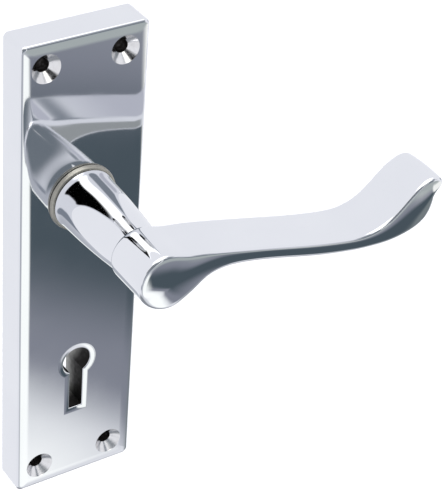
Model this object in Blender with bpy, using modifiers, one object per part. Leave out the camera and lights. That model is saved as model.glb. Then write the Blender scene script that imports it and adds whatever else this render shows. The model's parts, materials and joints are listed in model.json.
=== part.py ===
"""Lever handle on a long backplate: a sprung scroll lever above a lock keyhole.

The door's face is the plane y = 0 and the handle stands out of it towards -Y, with +Z up.
Most pieces are modelled in a frame turned a quarter turn about X, where x is the door's
width, y its height and z is the height above the door's face, so that turned pieces stand
on the lever's axis.
"""
import math

import bmesh
import bpy
from mathutils import Matrix

MM = 0.001

# Backplate
PLATE_WIDTH = 38.0 * MM
PLATE_HEIGHT = 150.0 * MM
PLATE_DEPTH = 10.0 * MM
PLATE_WALL = 2.2 * MM
PLATE_SIDE_RADIUS = 1.6 * MM
PLATE_FRONT_RADIUS = 0.9 * MM
RIB_WIDTH = 3.0 * MM
RIB_HEIGHTS = (0.0, 52.0 * MM, -55.5 * MM)
RIB_DEPTH = 3.5 * MM

# Fixing screw holes
HOLE_X = 11.7 * MM
HOLE_Z = 67.5 * MM
HOLE_RADIUS = 1.95 * MM
SINK_RADIUS = 4.15 * MM
BOSS_RADIUS = 5.3 * MM

# Lock: 57 mm from the lever's axis to the centre of the keyhole's round head
LEVER_Z = 24.8 * MM
LOCK_CENTRES = 57.0 * MM
KEY_Z = LEVER_Z - LOCK_CENTRES
KEY_HEAD_RADIUS = 4.4 * MM
KEY_SLOT_WIDTH = 4.2 * MM
KEY_SLOT_FOOT = 17.2 * MM
KEY_WALL = 2.0 * MM

# Lever
JOURNAL_RADIUS = 7.6 * MM
RUNNING_CLEARANCE = 0.1 * MM
NECK_FOOT = 11.7 * MM
NECK_OUTLINE = ((9.35, 11.9), (9.15, 12.9), (8.98, 15.0), (8.85, 19.0), (8.62, 23.5),
                (8.3, 28.0), (7.9, 32.5), (7.5, 36.5), (7.36, 39.2), (7.2, 48.0))
LOBE_RADIUS = 7.9 * MM
LOBE_SWELL = 1.5 * MM
SWELL_ANGLES = (200.0, 320.0)
GRIP_WIDTH = 16.0 * MM
GRIP_BACK = 38.3 * MM
GRIP_EDGE = 0.7 * MM
GRIP_UNDERSIDE = ((8.9, -5.3), (12.6, -2.6), (17.5, -1.35), (26.0, -2.0), (36.0, -4.25), (47.0, -7.15),
                  (57.0, -9.2), (65.5, -10.4), (73.5, -10.65), (80.5, -9.4), (85.3, -6.9), (87.2, -2.8))
GRIP_TIP = ((87.9, 0.9), (89.8, 2.7), (90.7, 4.2), (89.5, 6.1))
GRIP_TOPSIDE = ((86.0, 6.5), (82.2, 4.7), (77.3, 0.5), (71.5, -4.1), (65.0, -5.8), (57.0, -5.05),
                (47.0, -3.0), (36.0, -0.3), (27.0, 1.9), (19.0, 3.8), (12.0, 5.3), (6.0, 6.5))
SOCKET_SIDE = 8.2 * MM
SOCKET_DEPTH = 25.0 * MM
SHANK_END = 0.8 * MM
FLAT_HALF_WIDTH = 6.3 * MM
FLAT_TOP = 6.85 * MM
GROOVE_RADIUS = 6.8 * MM
GROOVE_SPAN = (3.3 * MM, 4.2 * MM)
SHANK_EDGE = 0.4 * MM

# Collar and bearings
COLLAR_RADIUS = 10.2 * MM
COLLAR_BORE = 8.0 * MM
COLLAR_SPAN = (10.2 * MM, 11.5 * MM)
COLLAR_EDGE = 0.4 * MM
PLATE_BORE = 8.9 * MM
BUSH_WALL = 0.9 * MM
BUSH_FLANGE_RADIUS = 11.0 * MM
BUSH_SPIGOT = 0.6 * MM

# Drive cam, its stops and the circlip
CAM_SPAN = (5.2 * MM, 6.7 * MM)
CAM_RADIUS = 9.0 * MM
ARM_REACH = 16.0 * MM
ARM_HALF_WIDTH = 2.5 * MM
ARM_REST_ANGLE = 115.0
LEVER_TRAVEL = 50.0
FINGER_RADII = (11.0 * MM, 11.8 * MM)
FINGER_HALF_WIDTH = 1.5 * MM
FINGER_END = 3.6 * MM
STOP_CIRCLE = 14.3 * MM
STOP_RADIUS = 1.5 * MM
STOP_END = 8.6 * MM
STOP_EDGE = 0.3 * MM
STOP_OFFSET_ANGLE = 17.6
CIRCLIP_SPAN = (3.4 * MM, 4.1 * MM)
CIRCLIP_RADII = (6.95 * MM, 8.5 * MM)
CIRCLIP_GAP_ANGLE = 22.0
LUG_RADIUS = 1.2 * MM
LUG_INSET = 0.3 * MM
LUG_HOLE_RADIUS = 0.55 * MM
WAVE_RADII = (7.9 * MM, 9.2 * MM)
WAVE_HEIGHT = 0.15 * MM
WAVE_THICKNESS = 0.3 * MM

# Return spring and its case
WIRE_RADIUS = 0.45 * MM
COIL_RADIUS = 10.2 * MM
COIL_SPAN = (2.0 * MM, 4.4 * MM)
LEG_END = 11.75 * MM
FIXED_LEG_ANGLE = 270.0
MOVING_LEG_ANGLE = 103.0
WHOLE_TURNS = 2
ANCHOR_RADIUS = 0.55 * MM
ANCHOR_CIRCLE = 11.4 * MM
ANCHOR_ANGLE = 263.2
CASE_RADIUS = 12.9 * MM
CASE_WALL = 0.8 * MM
CASE_BACK = 0.5 * MM
CASE_FRONT = 4.9 * MM
CASE_HOLE = 8.8 * MM
CUP_EDGE = 1.0 * MM
BRIM_HALF_WIDTH = 15.6 * MM
BRIM_HALF_HEIGHT = 18.6 * MM
BRIM_CORNER = 3.0 * MM
POST_X = 12.5 * MM
POST_Y = 15.5 * MM
POST_RADIUS = 2.6 * MM
POST_END = 5.1 * MM
PILOT_END = 8.5 * MM
CASE_SCREW_RADIUS = 1.4 * MM
SCREW_TIP = 8.0 * MM
SCREW_POINT = 0.5 * MM
SCREW_HEAD_RADIUS = 2.4 * MM
SCREW_HEAD_HEIGHT = 1.3 * MM
CROSS_HALF_WIDTH = 0.35 * MM
CROSS_HALF_LENGTH = 1.3 * MM
CROSS_DEPTH = 0.7 * MM

GAP = 0.2 * MM
OVERRUN = 1.0 * MM
FINE_STEPS = 64
ROUND_STEPS = 48
HOLE_STEPS = 32
PIN_STEPS = 24
POST_STEPS = 16
COIL_STEP_ANGLE = 15.0
MERGE = 0.000001


# Scene and helpers

def clear_scene():
    for item in list(bpy.data.objects):
        bpy.data.objects.remove(item, do_unlink=True)


def new_collection(name):
    group = bpy.data.collections.new(name)
    bpy.context.scene.collection.children.link(group)
    return group


def new_material(name, colour, metallic, roughness):
    material = bpy.data.materials.new(name)
    material.use_nodes = True
    shader = material.node_tree.nodes["Principled BSDF"]
    shader.inputs["Base Color"].default_value = (*colour, 1.0)
    shader.inputs["Metallic"].default_value = metallic
    shader.inputs["Roughness"].default_value = roughness
    return material


def new_frame(name, height):
    """An empty whose z axis stands out of the door at the given height."""
    empty = bpy.data.objects.new(name, None)
    empty.location = (0.0, 0.0, height)
    empty.rotation_euler = (math.radians(90.0), 0.0, 0.0)
    PARTS.objects.link(empty)
    return empty


def place(item, group, frame, material=None):
    """Put an object in its collection and frame, with its material."""
    for other in list(item.users_collection):
        other.objects.unlink(item)
    group.objects.link(item)
    item.parent = frame
    item.matrix_parent_inverse = Matrix.Identity(4)
    if material:
        item.data.materials.clear()
        item.data.materials.append(material)
    if group is CUTTERS:
        item.hide_render = True
        item.display_type = "WIRE"
    return item


def mesh_object(name, shape):
    mesh = bpy.data.meshes.new(name)
    shape.to_mesh(mesh)
    shape.free()
    return bpy.data.objects.new(name, mesh)


def box(name, low, high):
    """A box between two corners, in its frame's axes."""
    shape = bmesh.new()
    bmesh.ops.create_cube(shape, size=1.0)
    size = [b - a for a, b in zip(low, high)]
    centre = [(a + b) / 2 for a, b in zip(low, high)]
    bmesh.ops.scale(shape, vec=size, verts=shape.verts)
    bmesh.ops.translate(shape, vec=centre, verts=shape.verts)
    return mesh_object(name, shape)


def turned(name, profile, centre=(0.0, 0.0), steps=ROUND_STEPS, closed=False):
    """Turn (radius, height) points about z, listed from the top down the outer side."""
    count = len(profile)
    edges = [(i, i + 1) for i in range(count - 1)]
    if closed:
        edges.append((count - 1, 0))
    mesh = bpy.data.meshes.new(name)
    mesh.from_pydata([(radius, 0.0, height) for radius, height in profile], edges, [])
    item = bpy.data.objects.new(name, mesh)
    item.location = (*centre, 0.0)
    screw = item.modifiers.new("turn", "SCREW")
    screw.axis = "Z"
    screw.angle = math.tau
    screw.steps = steps
    screw.render_steps = steps
    screw.use_merge_vertices = True
    screw.merge_threshold = MERGE
    screw.use_smooth_shade = True
    return item


def rod(name, radius, low, high, centre=(0.0, 0.0), steps=ROUND_STEPS):
    return turned(name, [(0.0, high), (radius, high), (radius, low), (0.0, low)], centre, steps)


def ring(name, bore, radius, low, high, steps=ROUND_STEPS):
    profile = [(radius, high), (radius, low), (bore, low), (bore, high)]
    return turned(name, profile, steps=steps, closed=True)


def polar(radius, degrees):
    angle = math.radians(degrees)
    return (radius * math.cos(angle), radius * math.sin(angle))


def arc(radius, start, end, steps, centre=(0.0, 0.0)):
    points = []
    for i in range(steps + 1):
        x, y = polar(radius, start + (end - start) * i / steps)
        points.append((centre[0] + x, centre[1] + y))
    return points


def curve_to_mesh(item):
    """Replace a curve by the mesh that it makes, with its caps welded on."""
    bpy.context.view_layer.update()
    evaluated = item.evaluated_get(bpy.context.evaluated_depsgraph_get())
    mesh = bpy.data.meshes.new_from_object(evaluated)
    shape = bmesh.new()
    shape.from_mesh(mesh)
    bmesh.ops.remove_doubles(shape, verts=shape.verts, dist=MERGE)
    bmesh.ops.recalc_face_normals(shape, faces=shape.faces)
    shape.to_mesh(mesh)
    shape.free()
    result = bpy.data.objects.new(item.name, mesh)
    result.matrix_world = item.matrix_world
    name = item.name
    bpy.data.objects.remove(item, do_unlink=True)
    result.name = name
    return result


def outline_curve(name, low, high, edge=0.0):
    """A filled flat curve between two heights, with its edges rounded by edge."""
    data = bpy.data.curves.new(name, "CURVE")
    data.dimensions = "2D"
    data.fill_mode = "BOTH"
    data.extrude = (high - low) / 2 - edge
    data.bevel_depth = edge
    data.offset = -edge
    data.bevel_resolution = 1
    item = bpy.data.objects.new(name, data)
    item.location = (0.0, 0.0, (low + high) / 2)
    bpy.context.scene.collection.objects.link(item)
    return item


def prism(name, points, low, high):
    """Extrude a polygon between two heights."""
    item = outline_curve(name, low, high)
    spline = item.data.splines.new("POLY")
    spline.points.add(len(points) - 1)
    for point, (x, y) in zip(spline.points, points):
        point.co = (x, y, 0.0, 1.0)
    spline.use_cyclic_u = True
    return curve_to_mesh(item)


def boolean(item, other, operation="DIFFERENCE"):
    modifier = item.modifiers.new(other.name, "BOOLEAN")
    modifier.operation = operation
    modifier.object = other


def cut(item, cutter, frame):
    place(cutter, CUTTERS, frame)
    boolean(item, cutter)


def join(item, other, frame):
    place(other, CUTTERS, frame)
    boolean(item, other, "UNION")


def shade(item, degrees=35.0):
    item.data.shade_smooth()
    item.data.set_sharp_from_angle(angle=math.radians(degrees))


# Fixed pieces

def keyhole_outline(grow):
    """The lock keyhole: a round head over a parallel slot, grown outwards by grow."""
    radius = KEY_HEAD_RADIUS + grow
    half = KEY_SLOT_WIDTH / 2 + grow
    foot = -KEY_SLOT_FOOT - grow
    meet = math.degrees(math.asin(half / radius))
    head = arc(radius, 270.0 + meet, 630.0 - meet, ROUND_STEPS // 2)
    points = head + [(-half, foot), (half, foot)]
    return [(x, y + KEY_Z) for x, y in points]


def make_cavity():
    """The hollow behind the backplate, less the bosses, posts and ribs that stand in it."""
    half_width = PLATE_WIDTH / 2 - PLATE_WALL
    half_height = PLATE_HEIGHT / 2 - PLATE_WALL
    floor = PLATE_DEPTH - PLATE_WALL
    cavity = box("cavity", (-half_width, -half_height, -OVERRUN), (half_width, half_height, floor))
    for side in (-1, 1):
        for end in (-1, 1):
            boss = rod("boss", BOSS_RADIUS, -2 * OVERRUN, PLATE_DEPTH, (side * HOLE_X, end * HOLE_Z))
            cut(cavity, boss, DOOR)
            post = rod("post", POST_RADIUS, POST_END, PLATE_DEPTH, (side * POST_X, end * POST_Y), PIN_STEPS)
            cut(cavity, post, AXIS)
    for index, height in enumerate(RIB_HEIGHTS):
        low = -2 * OVERRUN if index == 0 else RIB_DEPTH
        rib = box("rib", (-PLATE_WIDTH, height - RIB_WIDTH / 2, low),
                  (PLATE_WIDTH, height + RIB_WIDTH / 2, PLATE_DEPTH))
        cut(cavity, rib, DOOR)
    cut(cavity, prism("key_surround", keyhole_outline(KEY_WALL), -2 * OVERRUN, PLATE_DEPTH), DOOR)
    return place(cavity, CUTTERS, DOOR)


def make_backplate():
    plate = box("backplate", (-PLATE_WIDTH / 2, -PLATE_HEIGHT / 2, 0.0),
                (PLATE_WIDTH / 2, PLATE_HEIGHT / 2, PLATE_DEPTH))
    place(plate, PARTS, DOOR, CHROME)
    weights = plate.data.attributes.new("bevel_weight_edge", "FLOAT", "EDGE")
    for edge in plate.data.edges:
        heights = [plate.data.vertices[i].co.z for i in edge.vertices]
        if abs(heights[0] - heights[1]) > PLATE_DEPTH / 2:
            weights.data[edge.index].value = 1.0
        elif min(heights) > PLATE_DEPTH / 2:
            weights.data[edge.index].value = PLATE_FRONT_RADIUS / PLATE_SIDE_RADIUS
    bevel = plate.modifiers.new("edges", "BEVEL")
    bevel.limit_method = "WEIGHT"
    bevel.width = PLATE_SIDE_RADIUS
    bevel.segments = 3
    boolean(plate, make_cavity())
    depth = SINK_RADIUS - HOLE_RADIUS
    sink = [(0.0, PLATE_DEPTH + OVERRUN), (SINK_RADIUS + OVERRUN, PLATE_DEPTH + OVERRUN),
            (HOLE_RADIUS, PLATE_DEPTH - depth), (HOLE_RADIUS, -OVERRUN), (0.0, -OVERRUN)]
    for side in (-1, 1):
        for end in (-1, 1):
            cut(plate, turned("screw_hole", sink, (side * HOLE_X, end * HOLE_Z), HOLE_STEPS), DOOR)
            pilot = rod("pilot_hole", CASE_SCREW_RADIUS + GAP, 0.0, PILOT_END,
                        (side * POST_X, end * POST_Y), PIN_STEPS)
            cut(plate, pilot, AXIS)
    for angle in stop_angles():
        seat = rod("stop_seat", STOP_RADIUS + GAP, 0.0, STOP_END + GAP,
                   polar(STOP_CIRCLE, angle), PIN_STEPS)
        cut(plate, seat, AXIS)
    cut(plate, rod("bearing_bore", PLATE_BORE, 0.0, PLATE_DEPTH + OVERRUN, steps=FINE_STEPS), AXIS)
    cut(plate, prism("keyhole", keyhole_outline(0.0), -OVERRUN, PLATE_DEPTH + OVERRUN), DOOR)
    shade(plate)
    return plate


def make_neck_collar():
    low, high = COLLAR_SPAN
    edge = COLLAR_EDGE
    profile = [(COLLAR_BORE, high), (COLLAR_RADIUS - 2 * edge, high),
               (COLLAR_RADIUS - edge, high - edge / 2), (COLLAR_RADIUS - edge / 2, high - edge * 1.5),
               (COLLAR_RADIUS, low), (COLLAR_BORE, low)]
    collar = turned("neck_collar", profile, steps=FINE_STEPS, closed=True)
    place(collar, PARTS, AXIS, CHROME)


def make_front_bush():
    """A flanged nylon sleeve in the plate's bore, which the lever turns in."""
    bore = JOURNAL_RADIUS + RUNNING_CLEARANCE
    low = CAM_SPAN[1] + GAP
    flange_top = PLATE_DEPTH - PLATE_WALL - GAP
    profile = [(bore, PLATE_DEPTH - GAP / 2), (bore + BUSH_WALL, PLATE_DEPTH - GAP / 2),
               (bore + BUSH_WALL, flange_top), (BUSH_FLANGE_RADIUS, flange_top),
               (BUSH_FLANGE_RADIUS, low), (bore, low)]
    bush = turned("front_bush", profile, steps=FINE_STEPS, closed=True)
    place(bush, PARTS, AXIS, NYLON)


def make_rear_bush():
    """A flanged nylon sleeve in the spring case, which steadies the shank's end."""
    bore = JOURNAL_RADIUS + RUNNING_CLEARANCE
    flange_low = CASE_BACK + CASE_WALL + GAP
    flange_high = flange_low + BUSH_WALL
    top = flange_high + BUSH_SPIGOT
    profile = [(bore, top), (bore + BUSH_WALL, top), (bore + BUSH_WALL, flange_high),
               (bore + 2 * BUSH_WALL, flange_high), (bore + 2 * BUSH_WALL, flange_low),
               (bore + BUSH_WALL, flange_low), (bore + BUSH_WALL, CASE_BACK), (bore, CASE_BACK)]
    bush = turned("rear_bush", profile, steps=FINE_STEPS, closed=True)
    place(bush, PARTS, AXIS, NYLON)


def make_spring_case():
    """A pressed cover: a round cup over the spring with a square brim screwed to the posts."""
    corners = ((1, 1, 0.0), (-1, 1, 90.0), (-1, -1, 180.0), (1, -1, 270.0))
    outline = []
    for side, end, start in corners:
        centre = (side * (BRIM_HALF_WIDTH - BRIM_CORNER), end * (BRIM_HALF_HEIGHT - BRIM_CORNER))
        outline += arc(BRIM_CORNER, start, start + 90.0, 6, centre)
    case = prism("spring_case", outline, CASE_FRONT - CASE_WALL, CASE_FRONT)
    place(case, PARTS, AXIS, STEEL)
    middle = CASE_FRONT - CASE_WALL / 2
    corner = arc(CUP_EDGE, 0.0, -90.0, 2, (CASE_RADIUS - CUP_EDGE, CASE_BACK + CUP_EDGE))
    cup = turned("case_cup", [(0.0, middle), (CASE_RADIUS, middle)] + corner + [(0.0, CASE_BACK)])
    join(case, cup, AXIS)
    cut(case, rod("case_hollow", CASE_RADIUS - CASE_WALL, CASE_BACK + CASE_WALL,
                  CASE_FRONT + OVERRUN), AXIS)
    cut(case, rod("case_hole", CASE_HOLE, -OVERRUN, CASE_FRONT, steps=FINE_STEPS), AXIS)
    for side in (-1, 1):
        for end in (-1, 1):
            hole = rod("brim_hole", CASE_SCREW_RADIUS + 1.5 * GAP, 0.0, CASE_FRONT + OVERRUN,
                       (side * POST_X, end * POST_Y), PIN_STEPS)
            cut(case, hole, AXIS)
    shade(case)


def make_case_screws():
    """Four pan-head screws that hold the spring case to the plate's posts."""
    seat = CASE_FRONT - CASE_WALL - GAP
    head_end = seat - SCREW_HEAD_HEIGHT
    profile = [(0.0, SCREW_TIP), (CASE_SCREW_RADIUS - SCREW_POINT, SCREW_TIP),
               (CASE_SCREW_RADIUS, SCREW_TIP - SCREW_POINT), (CASE_SCREW_RADIUS, seat),
               (SCREW_HEAD_RADIUS, seat), (SCREW_HEAD_RADIUS, seat - 0.4 * SCREW_HEAD_HEIGHT),
               (0.85 * SCREW_HEAD_RADIUS, head_end + 0.2 * SCREW_HEAD_HEIGHT),
               (0.55 * SCREW_HEAD_RADIUS, head_end), (0.0, head_end)]
    low, high = head_end - OVERRUN, head_end + CROSS_DEPTH
    cross = ((CROSS_HALF_LENGTH, CROSS_HALF_WIDTH), (CROSS_HALF_WIDTH, CROSS_HALF_LENGTH))
    number = 0
    for end in (1, -1):
        for side in (-1, 1):
            number += 1
            x, y = side * POST_X, end * POST_Y
            screw = turned("case_screw_%d" % number, profile, (x, y), PIN_STEPS)
            place(screw, PARTS, AXIS, STEEL)
            for half_x, half_y in cross:
                slot = box("slot", (x - half_x, y - half_y, low), (x + half_x, y + half_y, high))
                cut(screw, slot, AXIS)


def stop_angles():
    """The stop pins' places round the axis: at rest, and at the end of the lever's travel."""
    return (ARM_REST_ANGLE + STOP_OFFSET_ANGLE, ARM_REST_ANGLE - LEVER_TRAVEL - STOP_OFFSET_ANGLE)


def make_stop_pins():
    low, high = CASE_FRONT + GAP, STOP_END
    profile = [(0.0, high), (STOP_RADIUS - STOP_EDGE, high), (STOP_RADIUS, high - STOP_EDGE),
               (STOP_RADIUS, low + STOP_EDGE), (STOP_RADIUS - STOP_EDGE, low), (0.0, low)]
    for name, angle in zip(("rest_stop_pin", "travel_stop_pin"), stop_angles()):
        pin = turned(name, profile, polar(STOP_CIRCLE, angle), PIN_STEPS)
        place(pin, PARTS, AXIS, STEEL)


def make_spring_anchor():
    """The post in the spring case that the spring's fixed leg presses on."""
    low = CASE_BACK + CASE_WALL + GAP
    pin = rod("spring_anchor_pin", ANCHOR_RADIUS, low, FINGER_END - 2 * GAP,
              polar(ANCHOR_CIRCLE, ANCHOR_ANGLE), POST_STEPS)
    place(pin, PARTS, AXIS, STEEL)


# Moving pieces

def lobe_point(degrees):
    """A point on the lobe's rim, whose radius swells smoothly towards the strap's underside."""
    start, end = SWELL_ANGLES
    share = min(max((degrees - start) / (end - start), 0.0), 1.0)
    return polar(LOBE_RADIUS + LOBE_SWELL * share * share * (3 - 2 * share), degrees)


def make_grip():
    """The scroll grip: a flat strap that starts as a round lobe on the neck's end."""
    item = outline_curve("grip", GRIP_BACK, GRIP_BACK + GRIP_WIDTH, GRIP_EDGE)
    lobe = [lobe_point(degrees) for degrees in range(90, 330, 30)]
    scroll = [(x * MM, y * MM) for x, y in GRIP_UNDERSIDE + GRIP_TIP + GRIP_TOPSIDE]
    points = lobe + scroll
    spline = item.data.splines.new("BEZIER")
    spline.bezier_points.add(len(points) - 1)
    for point, (x, y) in zip(spline.bezier_points, points):
        point.co = (x, y, 0.0)
        point.handle_left_type = "AUTO"
        point.handle_right_type = "AUTO"
    spline.use_cyclic_u = True
    spline.resolution_u = 5
    return curve_to_mesh(item)


def make_lever():
    """Shank, neck and grip in one casting, with a square socket for the lock's spindle."""
    neck = [(radius * MM, height * MM) for radius, height in reversed(NECK_OUTLINE)]
    groove_low, groove_high = GROOVE_SPAN
    profile = [(0.0, neck[0][1])] + neck + [
        (neck[-1][0], NECK_FOOT), (JOURNAL_RADIUS, NECK_FOOT), (JOURNAL_RADIUS, groove_high),
        (GROOVE_RADIUS, groove_high), (GROOVE_RADIUS, groove_low), (JOURNAL_RADIUS, groove_low),
        (JOURNAL_RADIUS, SHANK_END + SHANK_EDGE), (JOURNAL_RADIUS - SHANK_EDGE, SHANK_END),
        (0.0, SHANK_END)]
    lever = turned("lever_handle", profile, steps=FINE_STEPS)
    place(lever, PARTS, AXIS, CHROME)
    join(lever, make_grip(), AXIS)
    for side in (-1, 1):
        near, far = sorted((side * FLAT_HALF_WIDTH, side * 2 * FLAT_HALF_WIDTH))
        flat = box("shank_flat", (near, -2 * JOURNAL_RADIUS, -OVERRUN),
                   (far, 2 * JOURNAL_RADIUS, FLAT_TOP))
        cut(lever, flat, AXIS)
    half = SOCKET_SIDE / 2
    cut(lever, box("spindle_socket", (-half, -half, -OVERRUN), (half, half, SOCKET_DEPTH)), AXIS)
    shade(lever)


def make_drive_cam():
    """A steel cam keyed on the shank's flats; its arm meets the stops, its finger the spring."""
    low, high = CAM_SPAN
    spread = math.degrees(math.asin(ARM_HALF_WIDTH / CAM_RADIUS))
    tip_spread = math.degrees(math.asin(ARM_HALF_WIDTH / ARM_REACH))
    outline = arc(CAM_RADIUS, ARM_REST_ANGLE + spread, ARM_REST_ANGLE + 360.0 - spread, ROUND_STEPS)
    outline += arc(ARM_REACH, ARM_REST_ANGLE - tip_spread, ARM_REST_ANGLE + tip_spread, 4)
    cam = prism("drive_cam", outline, low, high)
    place(cam, PARTS, AXIS, STEEL)
    finger = box("cam_finger", (FINGER_RADII[0], -FINGER_HALF_WIDTH, FINGER_END),
                 (FINGER_RADII[1], FINGER_HALF_WIDTH, (low + high) / 2))
    finger.rotation_euler = (0.0, 0.0, math.radians(ARM_REST_ANGLE))
    join(cam, finger, AXIS)
    bore = rod("cam_bore", JOURNAL_RADIUS + GAP, 0.0, PLATE_DEPTH, steps=FINE_STEPS)
    for side in (-1, 1):
        near, far = sorted((side * (FLAT_HALF_WIDTH + GAP), side * 2 * FLAT_HALF_WIDTH))
        land = box("cam_land", (near, -2 * JOURNAL_RADIUS, -OVERRUN),
                   (far, 2 * JOURNAL_RADIUS, 2 * PLATE_DEPTH))
        cut(bore, land, AXIS)
    cut(cam, bore, AXIS)
    shade(cam)


def make_wave_washer():
    """A crinkled spring washer that takes up the lever's end play."""
    bore, radius = WAVE_RADII
    middle = (CAM_SPAN[0] + CIRCLIP_SPAN[1]) / 2
    item = ring("wave_washer", bore, radius, middle - WAVE_THICKNESS / 2, middle + WAVE_THICKNESS / 2)
    bpy.context.scene.collection.objects.link(item)
    bpy.context.view_layer.update()
    evaluated = item.evaluated_get(bpy.context.evaluated_depsgraph_get())
    mesh = bpy.data.meshes.new_from_object(evaluated)
    for vertex in mesh.vertices:
        angle = math.atan2(vertex.co.y, vertex.co.x)
        vertex.co.z += WAVE_HEIGHT * math.cos(3 * angle)
    bpy.data.objects.remove(item, do_unlink=True)
    washer = bpy.data.objects.new("wave_washer", mesh)
    place(washer, PARTS, AXIS, SPRING_STEEL)


def make_circlip():
    """A retaining ring, open towards the grip's side, with a plier hole in each lug."""
    low, high = CIRCLIP_SPAN
    inner, outer = CIRCLIP_RADII
    start, end = CIRCLIP_GAP_ANGLE, 360.0 - CIRCLIP_GAP_ANGLE
    outline = arc(outer, start, end, ROUND_STEPS) + arc(inner, end, start, ROUND_STEPS)
    clip = prism("circlip", outline, low, high)
    place(clip, PARTS, AXIS, SPRING_STEEL)
    for angle in (start, end):
        centre = polar(outer - LUG_INSET, angle)
        join(clip, rod("lug", LUG_RADIUS, low, high, centre, PIN_STEPS), AXIS)
        hole = rod("lug_hole", LUG_HOLE_RADIUS, low - OVERRUN, high + OVERRUN, centre, POST_STEPS)
        cut(clip, hole, AXIS)
    shade(clip)


def make_return_spring():
    """A torsion spring: a fixed leg on the case's post, a coil, and a leg on the cam's finger."""
    low, high = COIL_SPAN
    sweep = FIXED_LEG_ANGLE - MOVING_LEG_ANGLE + 360.0 * WHOLE_TURNS
    count = round(sweep / COIL_STEP_ANGLE)
    points = [(*polar(LEG_END, FIXED_LEG_ANGLE), low)]
    for i in range(count + 1):
        angle = FIXED_LEG_ANGLE - sweep * i / count
        points.append((*polar(COIL_RADIUS, angle), low + (high - low) * i / count))
    points.append((*polar(LEG_END, MOVING_LEG_ANGLE), high))
    data = bpy.data.curves.new("return_spring", "CURVE")
    data.dimensions = "3D"
    data.bevel_depth = WIRE_RADIUS
    data.bevel_resolution = 2
    data.use_fill_caps = True
    spline = data.splines.new("POLY")
    spline.points.add(len(points) - 1)
    for point, spot in zip(spline.points, points):
        point.co = (*spot, 1.0)
    item = bpy.data.objects.new("return_spring", data)
    bpy.context.scene.collection.objects.link(item)
    spring = curve_to_mesh(item)
    place(spring, PARTS, AXIS, SPRING_STEEL)
    shade(spring, 60.0)


clear_scene()
PARTS = new_collection("lever_handle_on_backplate")
CUTTERS = new_collection("cutters")
DOOR = new_frame("door_frame", 0.0)
AXIS = new_frame("lever_axis", LEVER_Z)
CHROME = new_material("chrome", (0.78, 0.79, 0.81), 1.0, 0.08)
STEEL = new_material("zinc_steel", (0.62, 0.62, 0.60), 1.0, 0.32)
SPRING_STEEL = new_material("spring_steel", (0.30, 0.30, 0.31), 1.0, 0.35)
NYLON = new_material("nylon", (0.82, 0.80, 0.74), 0.0, 0.45)

make_backplate()
make_neck_collar()
make_front_bush()
make_rear_bush()
make_spring_case()
make_case_screws()
make_stop_pins()
make_spring_anchor()
make_lever()
make_drive_cam()
make_wave_washer()
make_circlip()
make_return_spring()
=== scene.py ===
"""The looks of a chrome scroll lever on a lock backplate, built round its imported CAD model.

Pieces are modelled standing on the door's face, with z as the height above it, and then
turned so that the height runs towards -Y. Lengths are in metres, except those of the neck's
outline, the grip and the spring's wire, which are in millimetres.
"""

import json
import math

import bmesh
import bpy
import numpy as np
from mathutils import Matrix, Vector


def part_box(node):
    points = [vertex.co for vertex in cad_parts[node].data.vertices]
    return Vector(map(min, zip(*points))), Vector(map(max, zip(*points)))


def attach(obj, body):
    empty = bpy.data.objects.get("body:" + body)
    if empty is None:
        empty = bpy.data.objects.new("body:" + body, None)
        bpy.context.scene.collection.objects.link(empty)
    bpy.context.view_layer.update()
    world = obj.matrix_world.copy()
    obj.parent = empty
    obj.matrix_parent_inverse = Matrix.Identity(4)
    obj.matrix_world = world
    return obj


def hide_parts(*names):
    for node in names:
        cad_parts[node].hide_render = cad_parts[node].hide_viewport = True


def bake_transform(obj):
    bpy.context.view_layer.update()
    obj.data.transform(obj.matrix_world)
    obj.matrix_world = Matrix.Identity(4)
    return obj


MM = 0.001
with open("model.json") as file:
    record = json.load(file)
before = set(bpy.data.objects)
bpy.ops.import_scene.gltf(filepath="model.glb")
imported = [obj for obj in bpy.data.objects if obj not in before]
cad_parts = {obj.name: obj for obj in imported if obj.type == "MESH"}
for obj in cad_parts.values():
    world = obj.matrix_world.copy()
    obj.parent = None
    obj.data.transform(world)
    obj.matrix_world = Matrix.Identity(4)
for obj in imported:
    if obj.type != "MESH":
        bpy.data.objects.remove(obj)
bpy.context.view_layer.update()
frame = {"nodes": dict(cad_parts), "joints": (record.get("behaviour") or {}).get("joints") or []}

# Places read from the frame
PLATE_LOW, PLATE_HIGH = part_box("backplate")
COLLAR_LOW, COLLAR_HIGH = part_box("neck_collar")
AXIS_Z = frame["joints"][0]["pos_m"][2]
PLATE_HALF_WIDTH = (PLATE_HIGH.x - PLATE_LOW.x) / 2
PLATE_HALF_HEIGHT = (PLATE_HIGH.z - PLATE_LOW.z) / 2
PLATE_DEPTH = -PLATE_LOW.y

# Door frame: local x, y and height become x, z and -y
DOOR = Matrix.Rotation(math.radians(90.0), 4, "X")
AXIS = Matrix.Translation((0.0, 0.0, AXIS_Z)) @ DOOR

# Backplate
PLATE_WALL = 2.2 * MM
PLATE_CORNER = 1.6 * MM
PLATE_EDGE = 0.9 * MM
ROLL_WIDTH = 3.6 * MM
ROLL_DROP = 0.13 * MM
RIB_WIDTH = 3.0 * MM
RIB_HEIGHTS = (0.0, 52.0 * MM, -55.5 * MM)
RIB_DEPTH = 3.5 * MM
HOLE_X = 11.7 * MM
HOLE_Z = 67.5 * MM
HOLE_RADIUS = 1.95 * MM
SINK_RADIUS = 4.15 * MM
BOSS_RADIUS = 5.3 * MM
KEY_Z = AXIS_Z - 57.0 * MM
KEY_HEAD_RADIUS = 4.4 * MM
KEY_SLOT_HALF = 2.1 * MM
KEY_SLOT_FOOT = 17.2 * MM
KEY_WALL = 2.0 * MM
KEY_LIP = 1.6 * MM
KEY_LIP_TILT = 10.0
KEY_EDGE = 0.3 * MM
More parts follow.
